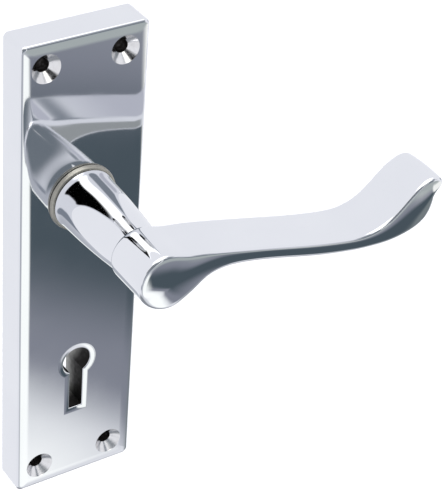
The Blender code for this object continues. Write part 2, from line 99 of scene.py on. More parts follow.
# Heights between the openings where the plate's face is divided, which keeps its shading even
STRIP_EDGES = (60.0 * MM, 46.0 * MM, 3.0 * MM, -22.0 * MM, -42.0 * MM, -60.0 * MM)
POST_X = 12.5 * MM
POST_Y = 15.5 * MM
POST_RADIUS = 2.6 * MM
POST_END = 5.1 * MM
PLATE_BORE = 8.9 * MM
PILOT_END = 8.5 * MM
STOP_SEAT_END = 8.8 * MM
SINK_LIP = 0.12 * MM
COLLAR_WIDTH = 2.2 * MM

# Lever
JOURNAL_RADIUS = 7.6 * MM
FLAT_HALF_WIDTH = 6.3 * MM
FLAT_TOP = 6.85 * MM
GROOVE_RADIUS = 6.8 * MM
GROOVE_SPAN = (3.3 * MM, 4.2 * MM)
SOCKET_HALF = 4.1 * MM
SOCKET_DEPTH = 25.0 * MM
SHANK_END = 0.8 * MM
NECK_FOOT = 11.7 * MM
NECK_OUTLINE = ((9.35, 11.9), (9.15, 12.9), (8.98, 15.0), (8.85, 19.0), (8.62, 23.5),
                (8.3, 28.0), (7.9, 32.5), (7.5, 36.5), (7.36, 39.2), (7.34, 40.6))
LOBE_RADIUS = 7.9
GRIP_WIDTH = 16.0
GRIP_BACK = 38.3
LOBE_SWELL = 1.5
SWELL_ANGLES = (200.0, 320.0)
LOBE_ANGLES = (80.0, 310.0)
STRAP_TOP = ((6.0, 6.5), (12.0, 5.3), (19.0, 3.8), (27.0, 1.9), (36.0, -0.3), (47.0, -3.0),
             (57.0, -5.05), (65.0, -5.8), (71.5, -4.1), (77.3, 0.5), (82.2, 4.6), (85.7, 6.05))
STRAP_UNDER = ((8.9, -5.3), (12.6, -2.6), (17.5, -1.35), (26.0, -2.0), (36.0, -4.25), (47.0, -7.15),
               (57.0, -9.2), (65.5, -10.4), (73.5, -10.65), (80.5, -9.4), (85.2, -6.9), (87.1, -2.8))
STRAP_TIP = ((87.6, 0.9), (89.2, 2.7), (90.0, 4.0), (88.9, 5.6))
TIP_BULGE = 0.3
TIP_SPAN = (82.0, 88.0)
TIP_CROWN = 0.12
TOP_EDGE = 0.9
UNDER_EDGE = 1.1
LOBE_EDGE = 1.0
TOP_CROWN = 0.045
UNDER_CROWN = 0.016
LOBE_CENTRE = (1.2, -2.0)
LOBE_CROWN = 0.08
LOBE_CROWN_ANGLE = 232.0
LOBE_CROWN_SPREAD = 30.0

# Places round the grip's outline, which starts with the lobe and ends with the top
GRIP_SAMPLES = 8
LOBE_POINTS = 13
FIRST_UNDER = (LOBE_POINTS - 1) * GRIP_SAMPLES
LAST_UNDER = (LOBE_POINTS + len(STRAP_TOP) - 1) * GRIP_SAMPLES
FIRST_TOP = (LOBE_POINTS + len(STRAP_TOP) + len(STRAP_TIP)) * GRIP_SAMPLES

# Spring case, its screws and the spring
CASE_RADIUS = 12.9 * MM
CASE_WALL = 0.8 * MM
CASE_BACK = 0.5 * MM
CASE_FRONT = 4.9 * MM
CASE_HOLE = 8.8 * MM
CASE_EDGE = 0.15 * MM
CASE_INSIDE = CASE_RADIUS - CASE_WALL
BRIM_LOW = CASE_FRONT - CASE_WALL
BRIM_HALF_WIDTH = 15.6 * MM
BRIM_HALF_HEIGHT = 18.6 * MM
BRIM_CORNER = 3.0 * MM
SCREW_RADIUS = 1.4 * MM
SCREW_HEAD = 2.4 * MM
SCREW_SEAT = 3.9 * MM
SCREW_TIP = 8.0 * MM
SCREW_HEAD_END = 2.6 * MM
THREAD_PITCH = 0.5 * MM
THREAD_DEPTH = 0.16 * MM
CROSS_ARM = 1.25
CROSS_HALF = 0.2
STOP_CIRCLE = 14.3 * MM
STOP_RADIUS = 1.5 * MM
STOP_ANGLES = (132.6, 47.4)
COIL_RADIUS = 10.2
COIL_SPAN = (2.0, 4.4)
WIRE_RADIUS = 0.45
FIXED_LEG_ANGLE = 270.0
COIL_SWEEP = 887.0
COIL_HOOK = ((11.75, 0.0), (11.3, 0.0), (10.9, 0.6), (10.55, 2.2), (10.3, 5.0), (10.2, 9.0))

# Clearance round screws and pins in the plate, and the distance within which vertices are one
GAP = 0.2 * MM
MERGE = 0.000001

# Camera and floor
CAMERA_LENS = 148.9
CAMERA_AZIMUTH = -35.72
CAMERA_ELEVATION = 34.95
CAMERA_ROLL = 4.91
CAMERA_DISTANCE = 0.5191
CAMERA_AIM = (0.0383, -0.0234, 0.0049)
FLOOR_LOW = (-8.0, -8.0, -0.32)
FLOOR_HIGH = (8.0, 8.0, -0.30)


# Geometry helpers

def arc(radius, start, end, steps, centre=(0.0, 0.0)):
    """Points on an arc between two angles in degrees."""
    angles = np.radians(np.linspace(start, end, steps + 1))
    return [(centre[0] + radius * math.cos(a), centre[1] + radius * math.sin(a)) for a in angles]


def polar(radius, degrees):
    return arc(radius, degrees, degrees, 0)[0]


def rounded_path(corners, steps=5, closed=True):
    """A path through (x, y, radius) corners with an arc of that radius in each corner."""
    path = []
    count = len(corners)
    for i, (x, y, radius) in enumerate(corners):
        if radius == 0.0 or (not closed and i in (0, count - 1)):
            path.append((x, y))
            continue
        here = Vector((x, y))
        before = (Vector(corners[i - 1][:2]) - here).normalized()
        after = (Vector(corners[(i + 1) % count][:2]) - here).normalized()
        half = before.angle(after) / 2
        reach = radius / math.tan(half)
        centre = here + (before + after).normalized() * (radius / math.sin(half))
        start = here + before * reach - centre
        end = here + after * reach - centre
        turn = start.angle_signed(end)
        for k in range(steps + 1):
            step = Matrix.Rotation(-turn * k / steps, 2) @ start
            path.append(tuple(centre + step))
    return path


def spline(points, closed=False, samples=8):
    """A smooth curve with continuous curvature through points, with samples in each span."""
    knots = np.array(points, float)
    if closed:
        knots = np.vstack([knots, knots[:1]])
    spans = np.linalg.norm(np.diff(knots, axis=0), axis=1)
    count = len(knots)
    system = np.zeros((count, count))
    right = np.zeros((count, knots.shape[1]))
    slopes = np.diff(knots, axis=0) / spans[:, None]
    for i in range(1, count - 1):
        system[i, i - 1:i + 2] = spans[i - 1], 2 * (spans[i - 1] + spans[i]), spans[i]
        right[i] = 6 * (slopes[i] - slopes[i - 1])
    if closed:
        system[0, 0], system[0, -1] = 1, -1
        system[-1, :2] = 2 * spans[0], spans[0]
        system[-1, -2:] += spans[-1], 2 * spans[-1]
        right[-1] = 6 * (slopes[0] - slopes[-1])
    else:
        system[0, 0] = system[-1, -1] = 1
    bend = np.linalg.solve(system, right)
    result = []
    for i, span in enumerate(spans):
        for k in range(samples):
            t = k / samples
            a, b = 1 - t, t
            result.append(a * knots[i] + b * knots[i + 1]
                          + ((a ** 3 - a) * bend[i] + (b ** 3 - b) * bend[i + 1]) * span ** 2 / 6)
    if not closed:
        result.append(knots[-1])
    return np.array(result)


def mesh_piece(name, vertices, faces):
    mesh = bpy.data.meshes.new(name)
    mesh.from_pydata([tuple(v) for v in vertices], [], faces)
    shape = bmesh.new()
    shape.from_mesh(mesh)
    bmesh.ops.remove_doubles(shape, verts=shape.verts, dist=MERGE)
    bmesh.ops.recalc_face_normals(shape, faces=shape.faces)
    shape.to_mesh(mesh)
    shape.free()
    item = bpy.data.objects.new(name, mesh)
    bpy.context.scene.collection.objects.link(item)
    return item


def loft(name, loops, caps=True):
    """Skin a stack of loops with equal numbers of 3-D points; flat caps close the ends."""
    count = len(loops[0])
    vertices = [point for loop in loops for point in loop]
    faces = []
    for j in range(len(loops) - 1):
        for i in range(count):
            k = (i + 1) % count
            faces.append((j * count + i, j * count + k, (j + 1) * count + k, (j + 1) * count + i))
    if caps:
        faces.append(tuple(reversed(range(count))))
        faces.append(tuple(range((len(loops) - 1) * count, len(loops) * count)))
    return mesh_piece(name, vertices, faces)


def lathe(name, profile, steps=96, closed=False, centre=(0.0, 0.0)):
    """Turn (radius, height) points about the z axis; an open profile starts and ends on it."""
    angles = np.linspace(0.0, math.tau, steps, endpoint=False)
    rows = list(profile) + ([profile[0]] if closed else [])
    vertices = []
    for radius, height in rows:
        for a in angles:
            vertices.append((centre[0] + radius * math.cos(a), centre[1] + radius * math.sin(a), height))
    faces = []
    for j in range(len(rows) - 1):
        for i in range(steps):
            k = (i + 1) % steps
            corners = [j * steps + i, j * steps + k, (j + 1) * steps + k, (j + 1) * steps + i]
            if rows[j][0] == 0.0:
                corners.pop(1)
            elif rows[j + 1][0] == 0.0:
                corners.pop(2)
            faces.append(tuple(corners))
    return mesh_piece(name, vertices, faces)


def block(name, low, high):
    corners = [(low[0], low[1]), (high[0], low[1]), (high[0], high[1]), (low[0], high[1])]
    return loft(name, [[(x, y, z) for x, y in corners] for z in (low[2], high[2])])


def plug(name, radius, low, high, centre=(0.0, 0.0), steps=64):
    return lathe(name, [(0.0, high), (radius, high), (radius, low), (0.0, low)], steps, centre=centre)


def extrude(name, outline, low, high):
    return loft(name, [[(x, y, z) for x, y in outline] for z in (low, high)])


def combine(item, others, operation="DIFFERENCE"):
    """Cut, join or intersect an object with others, which are then removed."""
    for other in others:
        modifier = item.modifiers.new("combine", "BOOLEAN")
        modifier.operation = operation
        modifier.object = other
        modifier.material_mode = "TRANSFER"
    bpy.context.view_layer.update()
    graph = bpy.context.evaluated_depsgraph_get()
    mesh = bpy.data.meshes.new_from_object(item.evaluated_get(graph))
    item.modifiers.clear()
    item.data = mesh
    for other in others:
        bpy.data.objects.remove(other, do_unlink=True)
    return item


def finish_piece(item, matrix, body, nodes, material=None, sharp=35.0, weighted=False):
    """Place a piece, shade it, and say what it rides on, replaces and is made of."""
    item.data.transform(matrix)
    if material:
        item.data.materials.clear()
        item.data.materials.append(material)
    item.data.shade_smooth()
    item.data.set_sharp_from_angle(angle=math.radians(sharp))
    if weighted:
        normals = item.modifiers.new("weighted", "WEIGHTED_NORMAL")
        normals.mode = "FACE_AREA"
        normals.keep_sharp = True
        normals.weight = 50
    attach(item, body)
    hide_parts(*nodes)
    return item


# Materials

class Surface:
    """A Principled material whose colour, roughness and bump come from procedural nodes."""

    def __init__(self, name, metallic, roughness, colour):
        self.material = bpy.data.materials.new(name)
        self.material.use_nodes = True
        self.tree = self.material.node_tree
        self.shader = self.tree.nodes["Principled BSDF"]
        self.shader.inputs["Metallic"].default_value = metallic
        self.shader.inputs["Roughness"].default_value = roughness
        self.shader.inputs["Base Color"].default_value = (*colour, 1.0)
        self.place = self.add("ShaderNodeTexCoord").outputs["Object"]
        self.normal = None

    def add(self, kind, **settings):
        node = self.tree.nodes.new(kind)
        for key, value in settings.items():
            setattr(node, key, value)
        return node

    def link(self, output, target):
        self.tree.links.new(output, target)
        return output

    def stretched(self, scale):
        mapping = self.add("ShaderNodeMapping")
        mapping.inputs["Scale"].default_value = scale
        self.link(self.place, mapping.inputs["Vector"])
        return mapping.outputs["Vector"]

    def noise(self, scale, detail=3.0, stretch=(1.0, 1.0, 1.0), rough=0.5):
        node = self.add("ShaderNodeTexNoise")
        node.inputs["Scale"].default_value = scale
        node.inputs["Detail"].default_value = detail
        node.inputs["Roughness"].default_value = rough
        self.link(self.stretched(stretch), node.inputs["Vector"])
        return node.outputs["Fac"]

    def remap(self, value, low, high, start=0.3, end=0.7):
        node = self.add("ShaderNodeMapRange")
        node.inputs["From Min"].default_value = start
        node.inputs["From Max"].default_value = end
        node.inputs["To Min"].default_value = low
        node.inputs["To Max"].default_value = high
        self.link(value, node.inputs["Value"])
        return node.outputs["Result"]

    def blend_colours(self, value, first, second):
        node = self.add("ShaderNodeMix", data_type="RGBA")
        node.inputs["A"].default_value = (*first, 1.0)
        node.inputs["B"].default_value = (*second, 1.0)
        self.link(value, node.inputs["Factor"])
        self.link(node.outputs["Result"], self.shader.inputs["Base Color"])

    def rough(self, value, low, high):
        self.link(self.remap(value, low, high), self.shader.inputs["Roughness"])

    def bump(self, value, depth, strength=1.0):
        node = self.add("ShaderNodeBump")
        node.inputs["Strength"].default_value = strength
        node.inputs["Distance"].default_value = depth
        self.link(value, node.inputs["Height"])
        if self.normal:
            self.link(self.normal, node.inputs["Normal"])
        self.normal = self.link(node.outputs["Normal"], self.shader.inputs["Normal"])


def chrome_material(name, rough_low, rough_high, wave):
    """Mirror chrome over a polished casting: faint waviness, polishing haze and hairlines."""
    surface = Surface(name, 1.0, rough_low, (0.80, 0.81, 0.83))
    surface.blend_colours(surface.noise(60.0, 2.0), (0.84, 0.85, 0.87), (0.79, 0.80, 0.83))
    surface.rough(surface.noise(90.0, 4.0), rough_low, rough_high)
    surface.bump(surface.noise(55.0, 1.0), wave)
    hairlines = surface.noise(1500.0, 2.0, (1.0, 1.0, 0.04))
    surface.bump(hairlines, 0.0000006)
    return surface.material


def cast_material():
    """The inside of the casting: plated but not polished, with a fine sandy skin."""
    surface = Surface("cast_zinc", 1.0, 0.42, (0.50, 0.51, 0.52))
    surface.blend_colours(surface.noise(150.0, 4.0), (0.56, 0.57, 0.58), (0.40, 0.41, 0.43))
    surface.rough(surface.noise(400.0, 4.0), 0.34, 0.52)
    surface.bump(surface.noise(2600.0, 3.0), 0.00004)
    return surface.material


def keyhole_wall_material():
    """The keyhole's wall, in painted shade: dark in the middle of the casting, lighter towards the open
    back.
    """
    surface = Surface("keyhole_wall", 1.0, 0.55, (0.05, 0.05, 0.05))
    height = surface.add("ShaderNodeSeparateXYZ")
    surface.link(surface.place, height.inputs["Vector"])
    back = surface.remap(height.outputs["Y"], 0.0, 1.0, -0.55 * PLATE_DEPTH, -0.02 * PLATE_DEPTH)
    # Painted shade: the wall's colour darkens towards the middle of the casting, and noise roughens the edge
    # of the shade
    ragged_painted_shade = surface.add("ShaderNodeMath", operation="ADD")
    surface.link(back, ragged_painted_shade.inputs[0])
    surface.link(surface.remap(surface.noise(500.0, 3.0), -0.05, 0.05), ragged_painted_shade.inputs[1])
    surface.blend_colours(ragged_painted_shade.outputs["Value"], (0.045, 0.043, 0.042), (0.42, 0.42, 0.40))
    surface.rough(surface.noise(800.0, 3.0), 0.45, 0.65)
    return surface.material


def recess_material():
    """Hole walls: bright by the front face, then dull where plating does not reach, and painted dark there
    as the shade inside the hole.
    """
    surface = Surface("recess", 1.0, 0.3, (0.1, 0.1, 0.1))
    height = surface.add("ShaderNodeSeparateXYZ")
    surface.link(surface.place, height.inputs["Vector"])
    # Painted shade: the wall's colour darkens from chrome to near black deeper in the hole, with a ragged
    # edge from noise
    depth = surface.remap(height.outputs["Y"], 0.0, 1.0, -PLATE_DEPTH + 1.6 * MM, -PLATE_DEPTH + 2.3 * MM)
    ragged = surface.add("ShaderNodeMath", operation="ADD")
    surface.link(depth, ragged.inputs[0])
    surface.link(surface.remap(surface.noise(900.0, 4.0), -0.12, 0.12), ragged.inputs[1])
    surface.blend_colours(ragged.outputs["Value"], (0.80, 0.81, 0.83), (0.055, 0.048, 0.045))
    surface.link(surface.remap(ragged.outputs["Value"], 0.08, 0.62, 0.0, 1.0),
                 surface.shader.inputs["Roughness"])
    surface.bump(surface.noise(2600.0, 3.0), 0.000003)
    return surface.material


def machined_material():
    """Chrome over a drilled countersink, with fine tool rings."""
    surface = Surface("machined_chrome", 1.0, 0.16, (0.82, 0.82, 0.83))
    surface.blend_colours(surface.noise(500.0, 2.0), (0.86, 0.86, 0.87), (0.74, 0.73, 0.72))
    surface.rough(surface.noise(900.0, 3.0), 0.12, 0.22)
    surface.bump(surface.noise(4000.0, 1.0, (0.1, 1.0, 0.1)), 0.000004)
    return surface.material


def satin_material():
    """A turned ring: fine rings from the tool and a warm satin plate."""
    surface = Surface("satin_nickel", 1.0, 0.42, (0.46, 0.45, 0.40))
    surface.blend_colours(surface.noise(700.0, 3.0), (0.50, 0.48, 0.42), (0.38, 0.37, 0.33))
    surface.rough(surface.noise(900.0, 3.0), 0.36, 0.48)
    surface.bump(surface.noise(5000.0, 1.0, (0.05, 1.0, 0.05)), 0.000004)
    return surface.material


def zinc_material(name, warm, cool):
    """Zinc plated steel: a bluish passivated skin with faint patches and rolling marks."""
    surface = Surface(name, 1.0, 0.32, warm)
    surface.blend_colours(surface.noise(220.0, 4.0), warm, cool)
    surface.rough(surface.noise(500.0, 4.0), 0.26, 0.40)
    surface.bump(surface.noise(1800.0, 2.0, (1.0, 1.0, 0.1)), 0.000008)
    return surface.material


def spring_material():
    """Oiled spring steel: dark, with draw lines."""
    surface = Surface("spring_steel", 1.0, 0.30, (0.24, 0.24, 0.25))
    surface.blend_colours(surface.noise(500.0, 3.0), (0.30, 0.30, 0.31), (0.17, 0.16, 0.16))
    surface.rough(surface.noise(800.0, 3.0), 0.24, 0.42)
    surface.bump(surface.noise(3000.0, 2.0), 0.000006)
    return surface.material


def nylon_material():
    surface = Surface("nylon", 0.0, 0.45, (0.80, 0.78, 0.71))
    surface.blend_colours(surface.noise(300.0, 3.0), (0.84, 0.82, 0.76), (0.76, 0.74, 0.66))
    surface.rough(surface.noise(700.0, 3.0), 0.38, 0.52)
    surface.bump(surface.noise(1500.0, 2.0), 0.00001)
    return surface.material


def floor_material():
    surface = Surface("pale_floor", 0.0, 0.6, (0.93, 0.93, 0.94))
    surface.blend_colours(surface.noise(3.0, 2.0), (0.94, 0.94, 0.95), (0.92, 0.92, 0.935))
    return surface.material


# Backplate

def keyhole_outline(grow):
    radius = KEY_HEAD_RADIUS + grow
    half = KEY_SLOT_HALF + grow
    meet = math.degrees(math.asin(half / radius))
    head = arc(radius, 270.0 + meet, 630.0 - meet, 72)
    foot = -KEY_SLOT_FOOT - grow
    return [(x, y + KEY_Z) for x, y in head + [(-half, foot), (half, foot)]]


def keyhole_lip():
    """The cutter's section: a straight wall, a small edge radius and a soft polished-down lip."""
    slope = math.tan(math.radians(KEY_LIP_TILT))
    dip = slope * KEY_LIP / 2
    start = 90.0 + KEY_LIP_TILT
    foot = PLATE_DEPTH - dip - KEY_EDGE * math.sin(math.radians(start))
    levels = [(0.0, -1 * MM)] + arc(KEY_EDGE, 180.0, start, 6, (KEY_EDGE, foot))
    first = levels[-1][0]
    for share in np.linspace(0.1, 0.95, 12):
        levels.append((first + KEY_LIP * share, PLATE_DEPTH - dip * (1 - share) ** 2))
    return levels + [(first + KEY_LIP + 0.6 * MM, PLATE_DEPTH + 0.2 * MM)]


def plate_outline(inset):
    radius = max(PLATE_CORNER - inset * 0.25, 0.6 * MM)
    x, y = PLATE_HALF_WIDTH - inset, PLATE_HALF_HEIGHT - inset
    corners = [(x, y, radius), (-x, y, radius), (-x, -y, radius), (x, -y, radius)]
    return rounded_path(corners, 8)


def plate_blank():
    """The plate's outer skin: straight sides, a small edge radius and a soft polished roll-off."""
    base = 0.15 * MM
    levels = [(base, 0.0), (0.0, base)]
    slope = 2 * ROLL_DROP / ROLL_WIDTH
    top = PLATE_DEPTH - ROLL_DROP
    steep = 90.0 - math.degrees(math.atan(slope))
    for degrees in np.linspace(0.0, steep, 9):
        angle = math.radians(degrees)
        levels.append((PLATE_EDGE * (1 - math.cos(angle)), top - PLATE_EDGE * (1 - math.sin(angle))))
    start, height = levels[-1]
    for share in np.linspace(0.12, 1.0, 10):
        rise = (PLATE_DEPTH - height) * (1 - (1 - share) ** 2)
        levels.append((start + (ROLL_WIDTH - start) * share, height + rise))
    return loft("backplate_shell", [[(x, y, h) for x, y in plate_outline(inset)] for inset, h in levels])


def plate_cavity(material):
    """The hollow behind the plate, less the bosses, posts, ribs and keyhole wall left in it."""
    half_width = PLATE_HALF_WIDTH - PLATE_WALL
    half_height = PLATE_HALF_HEIGHT - PLATE_WALL
    floor = PLATE_DEPTH - PLATE_WALL
    radius = 1.0 * MM
    corners = [(half_width, half_height, radius), (-half_width, half_height, radius),
               (-half_width, -half_height, radius), (half_width, -half_height, radius)]
    cavity = extrude("cavity", rounded_path(corners, 6), -1.0 * MM, floor)
    islands = []
    for side in (-1, 1):
        for end in (-1, 1):
            islands.append(plug("boss", BOSS_RADIUS, -2 * MM, PLATE_DEPTH, (side * HOLE_X, end * HOLE_Z)))
            islands.append(plug("post", POST_RADIUS, POST_END, PLATE_DEPTH,
                                (side * POST_X, AXIS_Z + end * POST_Y), 48))
    for index, height in enumerate(RIB_HEIGHTS):
        low = -2 * MM if index == 0 else RIB_DEPTH
        islands.append(block("rib", (-2 * half_width, height - RIB_WIDTH / 2, low),
                             (2 * half_width, height + RIB_WIDTH / 2, PLATE_DEPTH)))
    islands.append(extrude("key_surround", keyhole_outline(KEY_WALL), -2 * MM, PLATE_DEPTH))
    combine(cavity, islands)
    cavity.data.materials.clear()
    cavity.data.materials.append(material)
    return cavity


def split_faces(item, planes):
    """Cut a piece's faces along planes, given as an axis (0 to 2) and a place on it."""
    shape = bmesh.new()
    shape.from_mesh(item.data)
    for axis, place in planes:
        normal = Vector((axis == 0, axis == 1, axis == 2))
        everything = shape.verts[:] + shape.edges[:] + shape.faces[:]
        bmesh.ops.bisect_plane(shape, geom=everything, plane_co=normal * place, plane_no=normal)
    shape.to_mesh(item.data)
    shape.free()


def painted(item, material):
    item.data.materials.append(material)
    return item


def screw_hole_cutters(machined, recess, cast):
    """For each corner, the countersink, the hole behind it and a pilot hole in the case's post."""
    above = PLATE_DEPTH + 1 * MM
    depth = SINK_RADIUS - HOLE_RADIUS
    lip = SINK_LIP
    sink = [(0.0, above), (SINK_RADIUS + 1 * MM, above), (SINK_RADIUS + lip, PLATE_DEPTH + 0.02 * MM),
            (SINK_RADIUS, PLATE_DEPTH - lip), (HOLE_RADIUS, PLATE_DEPTH - depth), (0.0, PLATE_DEPTH - depth)]
    cutters = []
    for side in (-1, 1):
        for end in (-1, 1):
            centre = (side * HOLE_X, end * HOLE_Z)
            cutters.append(painted(lathe("sink", sink, 64, centre=centre), machined))
            cutters.append(painted(plug("hole", HOLE_RADIUS, -1 * MM, PLATE_DEPTH, centre), recess))
            pilot = (side * POST_X, AXIS_Z + end * POST_Y)
            cutters.append(painted(plug("pilot", SCREW_RADIUS + GAP, 0.0, PILOT_END, pilot, 32), cast))
    return cutters


def keyhole_cutter(chrome, keyhole_wall):
    levels = keyhole_lip()
    rim_foot = levels[1][1] + 0.01 * MM
    keyhole = loft("keyhole", [[(x, y, h) for x, y in keyhole_outline(grow)] for grow, h in levels])
    painted(keyhole, chrome)
    painted(keyhole, keyhole_wall)
    for face in keyhole.data.polygons:
        face.material_index = 1 if face.center.z < rim_foot else 0
    return keyhole


def make_backplate(chrome, cast, recess, machined, keyhole_wall):
    """The cast plate: shell, hollow back, countersunk holes, pin seats, bearing bore and keyhole."""
    plate = painted(plate_blank(), chrome)
    split_faces(plate, [(0, 0.0)] + [(1, place) for place in STRIP_EDGES])
    combine(plate, [plate_cavity(cast)])
    cutters = screw_hole_cutters(machined, recess, cast)
    for angle in STOP_ANGLES:
        x, y = polar(STOP_CIRCLE, angle)
        seat = plug("seat", STOP_RADIUS + GAP, 0.0, STOP_SEAT_END, (x, AXIS_Z + y), 32)
        cutters.append(painted(seat, cast))
    bore = plug("bearing_bore", PLATE_BORE, 0.0, PLATE_DEPTH + 1 * MM, (0.0, AXIS_Z), 96)
    cutters.append(painted(bore, chrome))
    cutters.append(keyhole_cutter(chrome, keyhole_wall))
    combine(plate, cutters)
    return finish_piece(plate, DOOR, "plate", ["backplate"], weighted=True)


def make_collar(material):
    """The turned ring round the neck, with a rounded top edge."""
    radius = (COLLAR_HIGH.x - COLLAR_LOW.x) / 2
    low, high = -COLLAR_HIGH.y, -COLLAR_LOW.y
    bore = radius - COLLAR_WIDTH
    corners = [(bore, high, 0.15 * MM), (radius - 0.35 * MM, high, 0.55 * MM),
               (radius, low + 0.05 * MM, 0.1 * MM), (radius - 0.1 * MM, low, 0.0), (bore, low, 0.1 * MM)]
    ring = lathe("neck_collar_ring", rounded_path(corners, 6), 128, closed=True)
    return finish_piece(ring, AXIS, "plate", ["neck_collar"], material)


# Lever

def lever_neck():
    """Shank and neck, turned: journal, circlip groove and the long tapering bell."""
    bell = spline([(r * MM, h * MM) for r, h in NECK_OUTLINE], samples=10)[::-1]
    low, high = GROOVE_SPAN
    edge = 0.3 * MM
    shank = [(NECK_OUTLINE[0][0] * MM - 0.25 * MM, NECK_FOOT), (JOURNAL_RADIUS, NECK_FOOT),
             (JOURNAL_RADIUS, high), (GROOVE_RADIUS, high), (GROOVE_RADIUS, low), (JOURNAL_RADIUS, low),
             (JOURNAL_RADIUS, SHANK_END + edge), (JOURNAL_RADIUS - edge, SHANK_END), (0.0, SHANK_END)]
    profile = [(0.0, bell[0][1])] + [tuple(p) for p in bell] + shank
    return lathe("lever_casting", profile, 160)


def ease(values, start, end):
    """A smooth rise from 0 at start to 1 at end."""
    share = np.clip((values - start) / (end - start), 0.0, 1.0)
    return share * share * (3 - 2 * share)


def soften(values, width):
    """A closed run of values, averaged over a few neighbours each way."""
    window = np.ones(2 * width + 1) / (2 * width + 1)
    return np.convolve(np.r_[values[-width:], values, values[:width]], window, "valid")


def grip_outline():
    """The grip's closed outline in mm: round lobe, underside, tip and top."""
    angles = np.linspace(*LOBE_ANGLES, LOBE_POINTS)
    radii = LOBE_RADIUS + LOBE_SWELL * ease(angles, *SWELL_ANGLES)
    lobe = [polar(radius, degrees) for radius, degrees in zip(radii, angles)]
    knots = lobe + list(STRAP_UNDER) + list(STRAP_TIP) + list(STRAP_TOP[::-1])
    return spline(knots, closed=True, samples=GRIP_SAMPLES)


def grip_spine(outline):
    """For each outline point, the place between underside and top that it looks back to."""
    count = len(outline)
    centre = np.array(LOBE_CENTRE)
    spine = np.tile(centre, (count, 1))
    for i in range(FIRST_UNDER, LAST_UNDER + 1):
        partner = (count - (i - FIRST_UNDER)) % count
        middle = (outline[i] + outline[partner]) / 2
        spine[i] = centre + (middle - centre) * ease(i, FIRST_UNDER, FIRST_UNDER + 3.0 * GRIP_SAMPLES)
        spine[partner] = spine[i]
    spine[LAST_UNDER:FIRST_TOP] = spine[LAST_UNDER]
    return spine


def grip_edges(outline):
    """Each outline point's edge radius in mm."""
    edge = np.full(len(outline), TOP_EDGE)
    edge[:FIRST_UNDER] = LOBE_EDGE
    edge[FIRST_UNDER:FIRST_TOP] = UNDER_EDGE
    return soften(edge, 2 * GRIP_SAMPLES)


def grip_crowns(outline):
    """How far the face falls towards each outline point, as a share of the way from the spine."""
    crown = np.full(len(outline), TOP_CROWN)
    crown[FIRST_UNDER:FIRST_TOP] = UNDER_CROWN
    turn = np.linspace(*LOBE_ANGLES, FIRST_UNDER)
    crown[:FIRST_UNDER] = np.interp(turn, LOBE_ANGLES, (TOP_CROWN, UNDER_CROWN))
    crown[:FIRST_UNDER] += LOBE_CROWN * np.exp(-((turn - LOBE_CROWN_ANGLE) / LOBE_CROWN_SPREAD) ** 2)
    crown += TIP_CROWN * ease(outline[:, 0], *TIP_SPAN)
    return soften(crown, GRIP_SAMPLES)


def grip_section(outline, reach):
    """Rows of (distance from the spine, drop from the face) from the face's middle to the side."""
    edge = np.minimum(grip_edges(outline), 0.45 * reach)
    crown = grip_crowns(outline)
    tilt = np.arctan(2 * crown)
    rows = []
    flat = reach - edge * (1 - np.sin(tilt))
    for share in (0.0, 0.15, 0.3, 0.45, 0.6, 0.75, 0.9, 1.0):
        distance = flat * share
        rows.append((distance, crown * distance ** 2 / reach))
    start = rows[-1][1]
    for k in range(1, 8):
        angle = tilt + (math.pi / 2 - tilt) * k / 7
        rows.append((reach - edge * (1 - np.sin(angle)), start + edge * (np.cos(tilt) - np.cos(angle))))
    face_end = rows[-1][1]
    bulge = TIP_BULGE * ease(outline[:, 0], *TIP_SPAN)
    for share in (0.15, 0.35, 0.6, 0.85):
        drop = face_end + (GRIP_WIDTH / 2 - face_end) * share
        rows.append((reach + bulge * (1 - (1 - share) ** 2), drop))
    return rows


def lever_grip():
    """The scroll grip: a crowned strap that swells into the round lobe and bulges at its tip."""
    outline = grip_outline()
    spine = grip_spine(outline)
    reach = np.linalg.norm(outline - spine, axis=1)
    rows = grip_section(outline, reach)
    half = GRIP_WIDTH / 2
    loops = []
    middle = GRIP_BACK + half
    for side in (-1, 1):
        stack = []
        for distance, drop in rows:
            points = spine + (outline - spine) * (distance / reach)[:, None]
            heights = middle + side * (half - drop)
            stack.append([(x * MM, y * MM, h * MM) for (x, y), h in zip(points, heights)])
        loops += stack if side < 0 else stack[::-1]
    return loft("grip", loops, caps=False)


def make_lever(chrome, cast):
    """Neck and grip in one casting, with two flats for the cam and a square socket."""
    lever = painted(lever_neck(), chrome)
    combine(lever, [painted(lever_grip(), chrome)], "UNION")
    cutters = []
    for side in (-1, 1):
        near, far = sorted((side * FLAT_HALF_WIDTH, side * 2 * FLAT_HALF_WIDTH))
        flat = block("flat", (near, -2 * JOURNAL_RADIUS, -1 * MM), (far, 2 * JOURNAL_RADIUS, FLAT_TOP))
        cutters.append(painted(flat, chrome))
    socket = block("socket", (-SOCKET_HALF, -SOCKET_HALF, -1 * MM), (SOCKET_HALF, SOCKET_HALF, SOCKET_DEPTH))
    cutters.append(painted(socket, cast))
    combine(lever, cutters)
    return finish_piece(lever, AXIS, "lever", ["lever_handle"], sharp=28.0)


# Behind the plate

def ring_piece(name, corners, steps=96):
    return lathe(name, rounded_path(corners, 4), steps, closed=True)


def make_rear_bush(material):
    """A flanged sleeve with softened edges, in the spring case's hole."""
    bore, sleeve, flange = 7.7 * MM, 8.6 * MM, 9.5 * MM
    low, top = CASE_BACK, 3.0 * MM
    seat, crown = 1.5 * MM, 2.4 * MM
    edge = 0.15 * MM
    corners = [(bore, top, edge), (sleeve, top, edge), (sleeve, crown, 0.1 * MM), (flange, crown, edge),
               (flange, seat, edge), (sleeve, seat, 0.1 * MM), (sleeve, low, edge), (bore, low, edge)]
    finish_piece(ring_piece("rear_bush_sleeve", corners), AXIS, "plate", ["rear_bush"], material)


